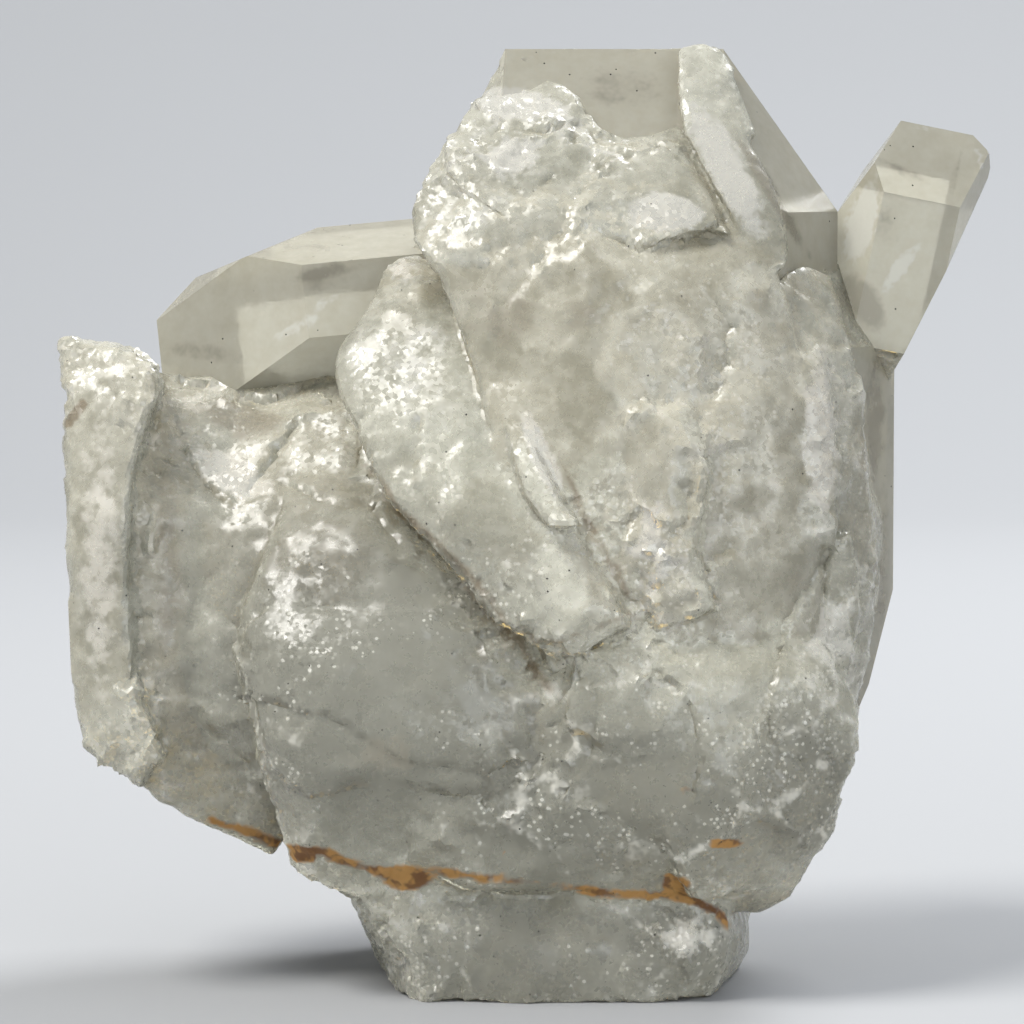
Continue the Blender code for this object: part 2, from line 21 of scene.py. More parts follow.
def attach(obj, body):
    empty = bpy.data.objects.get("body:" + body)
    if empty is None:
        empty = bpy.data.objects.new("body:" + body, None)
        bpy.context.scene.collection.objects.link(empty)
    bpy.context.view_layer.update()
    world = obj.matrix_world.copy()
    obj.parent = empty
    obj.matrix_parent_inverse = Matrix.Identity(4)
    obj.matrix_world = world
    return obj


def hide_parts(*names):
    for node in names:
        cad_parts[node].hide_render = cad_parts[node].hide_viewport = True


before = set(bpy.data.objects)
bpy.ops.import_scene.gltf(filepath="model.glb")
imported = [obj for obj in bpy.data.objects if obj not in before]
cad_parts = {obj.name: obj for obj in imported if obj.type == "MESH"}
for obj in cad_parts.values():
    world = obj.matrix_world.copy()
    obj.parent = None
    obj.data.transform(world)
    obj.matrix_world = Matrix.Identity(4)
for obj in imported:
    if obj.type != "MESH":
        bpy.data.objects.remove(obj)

MM = 0.001
PATTERN = 4                 # any whole number but 0. Without it the noise would differ from run to run
noise.seed_set(PATTERN)
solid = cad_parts["quartz_cluster"]
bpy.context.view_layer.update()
print("solid:", len(solid.data.polygons), "triangles")

# %% [markdown]
# ## Where the photograph was taken from
#
# Several marks sit at known spots of the picture, so the camera is settled first. It stands straight in front and a
# little above, far away, because the outline shows next to no perspective. One pixel at the cluster is 0.086 mm.
#
# `as_seen` turns places on the cluster into pixels of the photograph. A mark that was measured there in pixels can
# then be found on the surface, whatever its depth.

# %% Camera numbers
PIXEL = 0.086               # mm on the cluster for one pixel of the photograph
PICTURE = 1024              # pixels along each side of it
DISTANCE = 420.0            # mm from the camera to the point it looks at
ELEVATION = math.radians(4.0)
LOOKED_AT = np.array([0.0, -5.0, 40.1])
SENSOR = 36.0               # mm: the width of the camera's sensor

forward = np.array([0.0, math.cos(ELEVATION), -math.sin(ELEVATION)])
upward = np.array([0.0, math.sin(ELEVATION), math.cos(ELEVATION)])


def as_seen(places):
    """Places in mm on the cluster as pixels of the photograph."""
    away = places - LOOKED_AT
    nearness = DISTANCE / (DISTANCE + away @ forward)
    across = away[:, 0] * nearness / PIXEL
    up = (away @ upward) * nearness / PIXEL
    return np.stack([PICTURE / 2 + across, PICTURE / 2 - up], axis=1)


# %% [markdown]
# ## Finer triangles, and which faces are whole
#
# Merging every pair of triangles that lie in one plane brings the crystals' faces back as single polygons. A large
# flat polygon is therefore a whole crystal face, and everything else is a broken surface. The crystals that stand free
# at the back and at the right are whole down to their small end faces, so smaller polygons count there. The foot is
# broken all round, so none of its polygons counts.
#
# Long edges are then halved until none is longer than the wanted length, which leaves the shape exactly as it was.

# %% Split the faces
SAME_PLANE = math.radians(0.6)      # triangles that differ by less than this are one face
WHOLE_FACE = 30.0           # mm2: a flat polygon larger than this is a whole face
SMALL_WHOLE_FACE = 7.0      # mm2: the same on the crystals that stand free
FOOT = 9.0                  # mm: below this height every face is broken
EDGE = 0.78                 # mm: the longest edge that is kept at the front
BACK_EDGE = 1.25            # mm: the same at the back
BACK_FROM = 7.0             # mm: depth at which the back starts
PASSES = 6                  # rounds of halving, more than enough for the longest edge
BROKEN, WHOLE = 0, 1


def stands_free(place):
    """True in the leaning crystal, in the reclining one and at the back of the cluster."""
    leaning = place.x > 28.9 and place.z > 52.0
    reclining = place.x < -9.0 and place.y > 2.0 and place.z > 52.5 - place.x * 0.02
    behind = place.y > 18.5
    return leaning or reclining or behind


def too_long(edge):
    middle = (edge.verts[0].co.y + edge.verts[1].co.y) / 2
    return edge.calc_length() > (BACK_EDGE if middle > BACK_FROM else EDGE)


def refined_copy(node):
    """The node's mesh in mm, with whole faces marked and long edges halved."""
    mesh = bmesh.new()
    mesh.from_mesh(node.data)
    mesh.transform(node.matrix_world)
    bmesh.ops.scale(mesh, vec=(1 / MM,) * 3, verts=mesh.verts)
    bmesh.ops.remove_doubles(mesh, verts=mesh.verts, dist=0.001)
    bmesh.ops.dissolve_limit(mesh, angle_limit=SAME_PLANE, verts=mesh.verts, edges=mesh.edges)
    for face in mesh.faces:
        middle = face.calc_center_median()
        smallest = SMALL_WHOLE_FACE if stands_free(middle) else WHOLE_FACE
        face.material_index = WHOLE if face.calc_area() > smallest and middle.z > FOOT else BROKEN
    bmesh.ops.triangulate(mesh, faces=mesh.faces)
    for _ in range(PASSES):
        bmesh.ops.subdivide_edges(mesh, edges=[edge for edge in mesh.edges if too_long(edge)], cuts=1)
        bmesh.ops.triangulate(mesh, faces=[f for f in mesh.faces if len(f.verts) > 3])
    return mesh


refined = refined_copy(solid)
data = bpy.data.meshes.new("quartz")
refined.to_mesh(data)
refined.free()


def read(values, name, width, kind=np.float32):
    """One property of all points, edges or faces as an array, with width numbers for each."""
    got = np.empty(len(values) * width, dtype=kind)
    values.foreach_get(name, got)
    return got.reshape(-1, width) if width > 1 else got


places = read(data.vertices, "co", 3).astype(float)
edges = read(data.edges, "vertices", 2, np.int32)
triangles = read(data.polygons, "vertices", 3, np.int32)
slots = read(data.polygons, "material_index", 1, np.int32)
print("refined:", len(places), "points,", len(triangles), "triangles")
print("of these on whole faces:", int((slots == WHOLE).sum()))

# %% [markdown]
# ## Softening the broken parts
#
# Booleans leave the lobes with knife edges that no broken stone has for long. Each point of a broken surface is moved
# towards the middle of its neighbours a few times. Points that touch a whole face don't move, so the crystals keep
# their straight edges.

# %% Relax
broken = np.ones(len(places))
broken[triangles[slots == WHOLE].ravel()] = 0.0


def spread(values, rounds, share=0.5, hold=None):
    """Values at the points, averaged with their neighbours. Points where hold is 0 keep theirs."""
    values = values.astype(float)
    neighbours = np.bincount(edges.ravel(), minlength=len(places)).astype(float)
    step = share if hold is None else share * hold
    for _ in range(rounds):
        flat = values.reshape(len(values), -1)
        mean = np.empty_like(flat)
        for n in range(flat.shape[1]):
            mean[:, n] = np.bincount(edges[:, 0], flat[edges[:, 1], n], len(places))
            mean[:, n] += np.bincount(edges[:, 1], flat[edges[:, 0], n], len(places))
        mean /= neighbours[:, None]
        moved = (mean - flat) * (step[:, None] if hold is not None else step)
        values = (flat + moved).reshape(values.shape)
    return values


SOFTENING = 6               # rounds of it
BORDER = 3                  # rounds that fade the relief out towards whole faces
places = spread(places, SOFTENING, hold=broken)
nearly_broken = spread(broken, BORDER) * broken


def write_places():
    data.vertices.foreach_set("co", places.astype(np.float32).ravel())
    data.update()


def normals_now():
    write_places()
    return read(data.vertices, "normal", 3).astype(float)


print("softened:", int(broken.sum()), "points")

# %% [markdown]
# ## Places measured in the picture
#
# These helpers turn a drawing over the photograph into a number at every point of the mesh: how near it is to a line
# and on which side, how far inside an oval patch, and whether the camera sees it at all.

# %% Lines and patches
NEAR_SIDE = 6.0             # mm: what lies deeper than this isn't marked
seen = as_seen(places)


def near_line(line, width, side=None):
    """1 on a line of pixel places, fading to 0 at the width from it. side 1 keeps only what is right of it."""
    best = np.full(len(seen), 1e9)
    right = np.zeros(len(seen))
    for start, end in zip(line, line[1:]):
        start, along = np.array(start, float), np.array(end, float) - start
        share = np.clip((seen - start) @ along / (along @ along), 0.0, 1.0)
        away = seen - start - share[:, None] * along
        far = np.linalg.norm(away, axis=1)
        right = np.where(far < best, np.sign(along[0] * away[:, 1] - along[1] * away[:, 0]), right)
        best = np.minimum(best, far)
    nearness = np.clip(1.0 - best / width, 0.0, 1.0)
    return nearness if side is None else nearness * (right == side)


def in_patch(x, y, wide, high, turn=0.0):
    """1 in the middle of an oval patch of the picture, fading to 0 at its edge."""
    away = seen - np.array([x, y])
    c, s = math.cos(math.radians(turn)), math.sin(math.radians(turn))
    u, v = away[:, 0] * c + away[:, 1] * s, away[:, 1] * c - away[:, 0] * s
    return np.clip(1.6 - 1.6 * np.sqrt((u / wide) ** 2 + (v / high) ** 2), 0.0, 1.0)


def strongest(marks, draw):
    """The greatest of several marks at each point. Each mark ends with its strength."""
    total = np.zeros(len(seen))
    for *shape, strength in marks:
        total = np.maximum(total, strength * draw(*shape))
    return total


def in_front():
    """1 where the surface faces the camera on the near side of the cluster, 0 elsewhere."""
    faces_camera = np.clip((0.1 - normals_now() @ forward) * 1.6, 0.0, 1.0)
    return np.where(places[:, 1] < NEAR_SIDE, faces_camera, 0.0)


print("the cluster reaches from pixel", seen.min(axis=0).round(), "to", seen.max(axis=0).round())


# %% [markdown]
# ## The broken surface
#
# Quartz has no cleavage, so it breaks in shells: shallow dishes with sharp rims, crossed by small steps. Each layer
# here splits space into cells. Within a cell the surface tilts its own way, so neighbouring cells catch the light
# differently and meet in a little cliff. Three layers from 6 mm down to 1.3 mm give the mosaic that the eye reads as
# broken quartz. A few larger steps are then drawn where the photograph shows them.

# %% Tilted facets
FACETS = [
    # (cell size mm, height mm, seed)
    (6.0, 0.70, 1.0),
    (2.6, 0.60, 5.0),
    (1.3, 0.36, 9.0),
]
DISH = 0.35                 # mm: depth of the shell-shaped hollow in each of the largest cells
CALM = 12.0                 # mm: how far apart the calmer and the rougher stretches are
RIM = 0.16                  # width of the pale rim between cells, as a share of a cell
WANDER = 0.22               # how far the walls between cells wander, as a share of a cell
WANDER_FINENESS = 1.6       # turns of that wandering in a cell
SHUFFLE = 17.3              # any broken number: it makes neighbouring cells tilt in unlike directions
LIVELY, LEAST, MOST = 0.75, 0.2, 1.5    # how strong the relief is: on average, and its limits
UNRULY = 1.2                # how much that changes from stretch to stretch
CALM_PATCHES = [
    # (x, y, half width, half height in pixels, turn in degrees, strength)
    (100, 560, 44, 260, 0, 0.8), (728, 160, 30, 130, -28, 0.8), (340, 630, 160, 180, 0, 0.72),
    (565, 585, 60, 60, 0, 0.6), (640, 420, 80, 120, 0, 0.3), (200, 600, 60, 160, 0, 0.4),
]
STEPS = [
    # (line in pixels, how far the drop fades out in pixels, drop in mm), lower on the right of the line
    ([(719, 296), (734, 321), (731, 365), (711, 413)], 45, 0.55),
    ([(600, 170), (575, 200), (567, 226), (540, 262), (520, 290)], 40, 0.45),
    ([(610, 232), (640, 246), (672, 240), (700, 236), (716, 222)], 28, 0.55),
    ([(463, 92), (500, 122), (545, 128), (584, 118), (600, 132), (650, 138)], 22, 0.45),
    ([(482, 140), (498, 180), (530, 192), (550, 170)], 22, 0.35),
    ([(422, 420), (414, 481), (440, 520), (470, 545)], 26, 0.35),
    ([(169, 373), (220, 384), (264, 399), (300, 385)], 30, 0.55),
    ([(184, 445), (205, 480), (230, 504), (262, 470), (295, 420)], 34, 0.45),
    ([(640, 650), (690, 700), (702, 760), (690, 800)], 34, 0.40),
    ([(560, 650), (600, 700), (590, 760), (560, 800)], 34, 0.35),
    ([(700, 450), (690, 520), (655, 560), (650, 620)], 36, 0.40),
    ([(830, 560), (790, 620), (770, 700), (780, 760)], 34, 0.45),
    ([(289, 483), (330, 500), (372, 500), (400, 540)], 30, 0.35),
    ([(250, 700), (330, 716), (400, 760), (470, 772), (530, 762)], 26, 0.35),
]


def cell(place, size, seed):
    """The height of a field of tilted cells, how far in and how near the rim a place is, and the cell's two tones."""
    warped = place / size + Vector((seed, seed * 2.1, seed * 3.7))
    warped += WANDER * noise.noise_vector(warped * WANDER_FINENESS)
    distances, middles = noise.voronoi(warped)[:2]
    own = noise.cell_vector(middles[0] * SHUFFLE) - Vector((0.5, 0.5, 0.5))
    rim = max(0.0, 1.0 - (distances[1] - distances[0]) / RIM)
    return (warped - middles[0]).dot(own), distances[0], rim, own.x, own.y


def broken_relief():
    """Height, rim, paleness and warmth at every point of the broken surface."""
    height, rims, pale, warm = np.zeros((4, len(places)))
    for n in np.nonzero(nearly_broken > 0.02)[0]:
        place = Vector(places[n])
        cells = [(amount, cell(place, size, seed)) for size, amount, seed in FACETS]
        lively = min(MOST, max(LEAST, LIVELY + UNRULY * noise.noise(place / CALM)))
        total = sum(amount * found[0] for amount, found in cells)
        total += DISH * (cells[0][1][1] ** 2 - 0.3)
        height[n] = total * lively
        rims[n] = max(cells[0][1][2], 0.6 * cells[1][1][2]) * min(1.0, lively)
        pale[n] = 0.6 * cells[0][1][3] + 0.5 * cells[1][1][3]
        warm[n] = cells[0][1][4]
    return height, rims, pale, warm


relief, rims, cell_tone, cell_warmth = broken_relief()
relief *= 1.0 - strongest(CALM_PATCHES, in_patch) * in_front()
relief -= sum(drop * near_line(line, fade, 1) ** 2 for line, fade, drop in STEPS) * in_front()
places += normals_now() * (relief * nearly_broken)[:, None]
places[:, 2] = np.maximum(places[:, 2], 0.0)    # the foot stays on the floor
print("relief: from", round(relief.min(), 2), "to", round(relief.max(), 2), "mm")

# %% [markdown]
# ## Masks for what the surface carries
#
# Rust came in along one seam near the foot, brown dirt sits in the deep creases, and some chips are whiter than the
# rest because they are full of tiny cracks. Where the stone is clearer the light sinks in and it looks smoky. Painted
# shade makes every hollow a little darker and browner, and the lower part of the cluster darker still. Each mask is one
# number at every point, and only the side that faces the camera is marked.

# %% Where they lie in the picture
# The patches are (x, y, half width, half height in pixels, turn in degrees, strength).
SEAM = [(211, 821), (246, 831), (285, 848), (325, 853), (358, 868), (388, 874), (431, 871), (455, 874), (518, 881),
        (593, 891), (623, 893), (649, 895), (679, 896), (692, 898), (719, 914), (732, 928)]
RUST_SPOTS = [
    (412, 877, 44, 20, 0, 1.0), (676, 884, 22, 18, 0, 1.0), (725, 842, 24, 8, 0, 1.0), (686, 790, 12, 10, 0, 1.0),
    (502, 853, 5, 5, 0, 1.0), (300, 856, 26, 8, 10, 1.0), (590, 890, 40, 8, 5, 1.0),
]
CREASES = [
    # (line in pixels, width in pixels, strength)
    ([(459, 275), (484, 334), (508, 390), (559, 455), (588, 524), (628, 594)], 9, 0.8),
    ([(366, 468), (400, 512), (449, 554), (492, 602), (530, 660), (552, 690)], 10, 0.8),
    ([(470, 586), (510, 640), (560, 642), (631, 614)], 9, 0.6),
    ([(332, 361), (337, 390), (344, 433), (366, 468)], 8, 0.5),
    ([(770, 700), (742, 770), (716, 838)], 6, 0.3),
    ([(82, 403), (76, 414), (69, 424)], 7, 1.6),
]
WHITE_PATCHES = [
    # the chipped top of the great crystal and the narrow face beside it
    (520, 104, 62, 20, 8, 1.0), (514, 156, 36, 30, 0, 0.7), (665, 212, 50, 26, 0, 1.0), (728, 170, 26, 96, -28, 0.9),
    # the slab, the valley and the inclined crystal
    (235, 475, 52, 26, 30, 0.8), (216, 462, 24, 20, 0, 0.6), (540, 452, 15, 62, -22, 0.9),
    (100, 560, 30, 190, 0, 0.5), (400, 272, 16, 18, 0, 0.5), (420, 360, 60, 70, 30, 0.35),
    # the broken front and the column at the right
    (655, 560, 40, 70, 0, 0.35), (820, 440, 22, 110, 0, 0.7), (828, 640, 36, 60, 10, 0.5), (690, 940, 40, 30, 0, 0.35),
    # the leaning crystal
    (862, 222, 22, 62, 16, 0.8), (900, 268, 12, 44, 38, 0.7), (971, 228, 7, 14, 0, 0.9), (930, 128, 22, 4, 6, 0.8),
    (980, 160, 6, 24, -14, 0.6),
    # the reclining crystal
    (300, 325, 40, 12, -28, 0.5), (330, 300, 34, 8, -30, 0.5),
]
SMOKY_PATCHES = [
    # the top of the great crystal and its broken front
    (620, 88, 60, 30, 0, 0.4), (770, 190, 10, 90, -30, 0.8), (760, 300, 22, 24, 0, 0.5), (750, 330, 20, 90, 10, 0.3),
    (700, 560, 30, 60, 0, 0.3), (386, 752, 44, 26, 0, 0.6), (340, 560, 40, 50, 0, 0.25),
    # the column at the right
    (860, 300, 26, 40, -30, 0.8), (865, 305, 22, 40, -30, 0.9), (872, 420, 18, 120, 4, 0.6),
    (880, 560, 16, 120, 0, 0.5),
    # the leaning crystal, the reclining one and the valley
    (905, 172, 40, 8, 26, 0.5), (955, 175, 6, 34, 12, 0.4), (200, 352, 60, 12, 8, 0.5), (330, 272, 60, 8, -12, 0.4),
    (240, 415, 62, 28, 12, 0.8), (168, 560, 20, 170, 0, 0.5),
]
COOL_PATCHES = [(100, 560, 60, 280, 0, 1.0), (830, 440, 40, 170, 0, 0.7), (380, 700, 170, 120, 0, 0.6),
                (690, 950, 130, 70, 0, 1.0)]
# painted shade: the lower part of the cluster, the lobe and the foot are darker, as if less light reached them
PAINTED_SHADE_PATCHES = [(540, 960, 260, 90, 0, 0.9), (360, 670, 240, 240, 0, 1.2), (600, 800, 330, 160, 0, 1.0),
                (200, 600, 90, 300, 0, 0.45), (690, 950, 160, 80, 0, 1.0), (850, 600, 70, 260, 0, 0.45),
                (800, 790, 110, 130, 0, 1.0), (100, 560, 60, 260, 0, 0.3)]


# %% Paint the masks
SEAM_WIDTH = 12             # pixels to each side of it
CLOUDS = [
    # (size mm, share)
    (13.0, 1.0),
    (4.5, 0.6),
    (1.9, 0.4),
]
HOLLOWS = 6                 # rounds of spreading that show which points lie in a hollow


def cloud_tone():
    """Slow changes of tone through the stone, about -1 to 1."""
    tones = np.zeros(len(places))
    for n, place in enumerate(places):
        tones[n] = sum(share * noise.noise(Vector(place) / size) for size, share in CLOUDS)
    return tones


def keep_mask(name, values):
    """Stores a number from 0 to 1 at every point, for the materials to read."""
    layer = data.attributes.new(name, "FLOAT", "POINT")
    layer.data.foreach_set("value", np.clip(values, 0.0, 1.0).astype(np.float32))


front = in_front()
clouds = cloud_tone()
hollow = np.einsum("ij,ij->i", spread(places, HOLLOWS) - places, normals_now())
ragged = np.clip(0.65 + 0.9 * clouds, 0.0, 1.0)
rust = np.maximum(0.95 * near_line(SEAM, SEAM_WIDTH), strongest(RUST_SPOTS, in_patch))
white, calm, cool = (strongest(patches, in_patch) for patches in (WHITE_PATCHES, CALM_PATCHES, COOL_PATCHES))
# painted shade: the tone is a little darker in every hollow
keep_mask("tone", 0.50 + 0.30 * clouds + 0.75 * cell_tone + 0.4 * rims * nearly_broken
          - np.clip(hollow, 0.0, 0.3))
keep_mask("warm", 0.45 + 0.5 * cell_warmth + 0.3 * clouds - cool * front)
keep_mask("rough", (0.30 + 0.7 * clouds + 0.9 * cell_tone + 0.6 * white * front - 0.9 * calm * front) * nearly_broken)
keep_mask("rust", rust * front * (0.35 + 0.65 * ragged))
# dirt along the creases, and painted shade as a little brown in every hollow
keep_mask("dirt_and_shade", strongest(CREASES, near_line) * front * ragged
          + np.clip(hollow * 1.2, 0.0, 0.25) * nearly_broken)
keep_mask("white", white * front + 0.5 * rims * nearly_broken * (1.0 - 0.8 * calm * front))
keep_mask("smoky", strongest(SMOKY_PATCHES, in_patch) * front + np.clip(-clouds - 0.45, 0.0, 0.5))
# painted shade, darker towards the bottom
keep_mask("painted_shade", strongest(PAINTED_SHADE_PATCHES, in_patch) * front)
print("masks: rust on", int((rust * front > 0.3).sum()), "points")

# %% [markdown]
# ## Effects that both materials share
#
# These are node groups, built once. `facets` is the broken surface below the size of a triangle: small flat cells,
# each tilted its own way, some of them smooth enough to glint, some marked for a painted sparkle, and now and then a
# black dot of manganese. `quartz_colour` lays the veils of the stone and everything that the masks hold over each
# other, painted shade and painted sparkles among them.


# %% Node group helpers
def new_group(name, inputs, outputs):
    """An empty node group. inputs are {name: (kind, value)} and outputs {name: kind}."""
    group = bpy.data.node_groups.new(name, "ShaderNodeTree")
    for label, (kind, value) in inputs.items():
        socket = group.interface.new_socket(label, in_out="INPUT", socket_type=kind)
        socket.default_value = value
    for label, kind in outputs.items():
        group.interface.new_socket(label, in_out="OUTPUT", socket_type=kind)
    return group, group.nodes.new("NodeGroupInput").outputs, group.nodes.new("NodeGroupOutput").inputs


def feed(tree, socket, value):
    """Links the socket to an output, or sets it to a plain value."""
    if isinstance(value, bpy.types.NodeSocket):
        tree.links.new(value, socket)
    else:
        socket.default_value = value


def node(tree, kind, settings=None, **inputs):
    """A node with its settings made and its inputs fed."""
    made = tree.nodes.new(kind)
    for label, value in (settings or {}).items():
        setattr(made, label, value)
    for label, value in inputs.items():
        feed(tree, made.inputs[label], value)
    return made


def sums(tree, kind, operation, *values):
    """A Math or Vector Math node. Its first output is the result."""
    made = node(tree, kind, {"operation": operation})
    for socket, value in zip(made.inputs, values):
        feed(tree, socket, value)
    return made.outputs[0]


def math_node(tree, operation, *values):
    return sums(tree, "ShaderNodeMath", operation, *values)


def vector_node(tree, operation, *values):
    return sums(tree, "ShaderNodeVectorMath", operation, *values)


def mixed(tree, factor, first, second):
    """first blended into second by factor, both colours."""
    made = node(tree, "ShaderNodeMix", {"data_type": "RGBA"})
    for socket, value in zip((made.inputs[0], made.inputs[6], made.inputs[7]), (factor, first, second)):
        feed(tree, socket, value)
    return made.outputs[2]


def ramp(tree, value, low, high):
    """value stretched so that low becomes 0 and high becomes 1."""
    made = node(tree, "ShaderNodeMapRange", {"interpolation_type": "SMOOTHSTEP"}, Value=value)
    made.inputs["From Min"].default_value = low
    made.inputs["From Max"].default_value = high
    return made.outputs[0]


def mask(tree, name):
    """One of the masks that the mesh carries."""
    return node(tree, "ShaderNodeAttribute", {"attribute_name": name}).outputs["Fac"]


def use_group(tree, group, **inputs):
    """Places a node group in a material. Returns its outputs."""
    made = node(tree, "ShaderNodeGroup", {"node_tree": group}, **inputs)
    return made.outputs


# %% Facets
NUMBER = "NodeSocketFloat"
CELLS = 2700.0              # facets in a metre, so each is about 0.4 mm
GLINTING = 0.66             # above this random number a facet is smooth enough to glint
PAINTED_SPARKLE_SIZE = 0.42         # of a facet: the part of it that can carry a painted sparkle
SPECK_CELLS = 0.992         # above this one it carries a black dot
SPECK_SIZE = 0.22           # of a facet


def facets_group():
    group, given, result = new_group("facets", {"Tilt": (NUMBER, 0.3)},
                                     {"Normal": "NodeSocketVector", "Glint": NUMBER, "Sparkle": NUMBER,
                                      "Speck": NUMBER})
    place = node(group, "ShaderNodeTexCoord").outputs["Object"]
    # every cell has its own random colour, and that colour is used as a direction to lean in
    cells = node(group, "ShaderNodeTexVoronoi", {"voronoi_dimensions": "3D"}, Vector=place, Scale=CELLS)
    lean = vector_node(group, "SUBTRACT", cells.outputs["Color"], (0.5, 0.5, 0.5))
    scaled = node(group, "ShaderNodeVectorMath", {"operation": "SCALE"}, Vector=lean, Scale=given["Tilt"])
    upright = node(group, "ShaderNodeNewGeometry").outputs["Normal"]
    leaning = vector_node(group, "ADD", upright, scaled.outputs[0])
    group.links.new(vector_node(group, "NORMALIZE", leaning), result["Normal"])
    parts = node(group, "ShaderNodeSeparateColor", Color=cells.outputs["Color"]).outputs
    group.links.new(math_node(group, "GREATER_THAN", parts[0], GLINTING), result["Glint"])
    # painted sparkle: a white speck on some facets, standing in for a glint
    small = math_node(group, "LESS_THAN", cells.outputs["Distance"], PAINTED_SPARKLE_SIZE)
    group.links.new(math_node(group, "MULTIPLY", parts[2], small), result["Sparkle"])
    chosen = math_node(group, "GREATER_THAN", parts[1], SPECK_CELLS)
    dot = math_node(group, "LESS_THAN", cells.outputs["Distance"], SPECK_SIZE)
    group.links.new(math_node(group, "MULTIPLY", chosen, dot), result["Speck"])
    return group


facets = facets_group()


# %% Colour
WARM = (0.72, 0.66, 0.50, 1)
SMOKE = (0.42, 0.385, 0.30, 1)
# the next colour is painted shade, for the darker lower part
PAINTED_SHADE = (0.26, 0.255, 0.21, 1)
WHITE = (1.0, 0.975, 0.87, 1)
# the brown of the dirt, also painted as shade in the hollows
GRIME_AND_SHADE = (0.27, 0.20, 0.12, 1)
DARK_RUST, LIGHT_RUST = (0.20, 0.07, 0.015, 1), (0.62, 0.30, 0.07, 1)
BLACK = (0.02, 0.018, 0.015, 1)
VEILS = 620.0               # veils in a metre
# the most that each tint can cover of the colour below it
WARM_SHARE, PAINTED_SHADE_SHARE, SMOKE_SHARE, PAINTED_SPARKLE_SHARE, GRIME_AND_SHADE_SHARE = 0.35, 0.84, 0.8, 0.8, 0.7


def quartz_colour_group():
    colours = "NodeSocketColor"
    group, given, result = new_group(
        "quartz_colour",
        {"Pale": (colours, (1, 1, 1, 1)), "Shade": (colours, (1, 1, 1, 1)), "Mottling": (NUMBER, 1.0),
         "Sparkle": (NUMBER, 0.0), "Speck": (NUMBER, 0.0)},
        {"Colour": colours, "Dullness": NUMBER, "Rust": NUMBER})
    place = node(group, "ShaderNodeTexCoord").outputs["Object"]
    # the stone itself, from pale to dark and warm, then painted shade over its lower part, then smoke
    veils = node(group, "ShaderNodeTexNoise", Vector=place, Scale=VEILS, Detail=2.0, Roughness=0.75).outputs[0]
    uneven = math_node(group, "MULTIPLY", math_node(group, "SUBTRACT", veils, 0.5), given["Mottling"])
    colour = mixed(group, math_node(group, "ADD", mask(group, "tone"), uneven), given["Shade"], given["Pale"])
    colour = mixed(group, math_node(group, "MULTIPLY", mask(group, "warm"), WARM_SHARE), colour, WARM)
    colour = mixed(group, math_node(group, "MULTIPLY", mask(group, "painted_shade"), PAINTED_SHADE_SHARE), colour, PAINTED_SHADE)
    smoke = ramp(group, math_node(group, "ADD", mask(group, "smoky"), veils), 0.65, 1.25)
    colour = mixed(group, math_node(group, "MULTIPLY", smoke, SMOKE_SHARE), colour, SMOKE)
    # white chips, and painted sparkles: white specks that stand in for glints
    bright = ramp(group, math_node(group, "ADD", mask(group, "white"), veils), 0.78, 1.12)
    colour = mixed(group, bright, colour, WHITE)
    painted_glints = math_node(group, "MULTIPLY_ADD", mask(group, "rough"), 0.42, given["Sparkle"])
    colour = mixed(group, math_node(group, "MULTIPLY", ramp(group, painted_glints, 0.95, 1.15), PAINTED_SPARKLE_SHARE), colour, WHITE)
    # dirt, painted shade in the hollows, rust and black specks on it
    grime_and_shade = math_node(group, "MULTIPLY_ADD", mask(group, "dirt_and_shade"), 1.2, math_node(group, "SUBTRACT", veils, 0.75))
    colour = mixed(group, math_node(group, "MULTIPLY", ramp(group, grime_and_shade, 0.05, 0.7), GRIME_AND_SHADE_SHARE), colour, GRIME_AND_SHADE)
    rusty = math_node(group, "MULTIPLY_ADD", mask(group, "rust"), 1.4, math_node(group, "SUBTRACT", veils, 0.85))
    rust = ramp(group, rusty, 0.10, 0.55)
    colour = mixed(group, rust, colour, mixed(group, ramp(group, veils, 0.42, 0.56), DARK_RUST, LIGHT_RUST))
    group.links.new(mixed(group, given["Speck"], colour, BLACK), result["Colour"])
    group.links.new(ramp(group, veils, 0.35, 0.7), result["Dullness"])
    group.links.new(rust, result["Rust"])
    return group


quartz_colour = quartz_colour_group()
print("groups:", facets.name, quartz_colour.name)

# %% [markdown]
# ## Milky quartz and clear quartz
#
# Both are the same mineral with the refractive index of quartz, 1.54. Milky quartz is full of tiny fluid bubbles that
# scatter light, so about half of what goes in comes straight back out and the rest goes through, blurred by the rough
# surface. Clear quartz lets more of it through. These crystals are a little cloudy inside as well, so some still comes
# back, and a trace of smoke takes some away.

# %% Materials
QUARTZ_IOR = 1.54
SMOKE_IN_QUARTZ, SMOKE_DENSITY = (0.90, 0.86, 0.74, 1), 10.0     # what the clear stone swallows, in each metre
PAINTED_SHADE_DULLNESS = 0.85        # the part of the glints that is missing where shade is painted
RUST_DULLNESS = 0.4         # roughness that rust adds


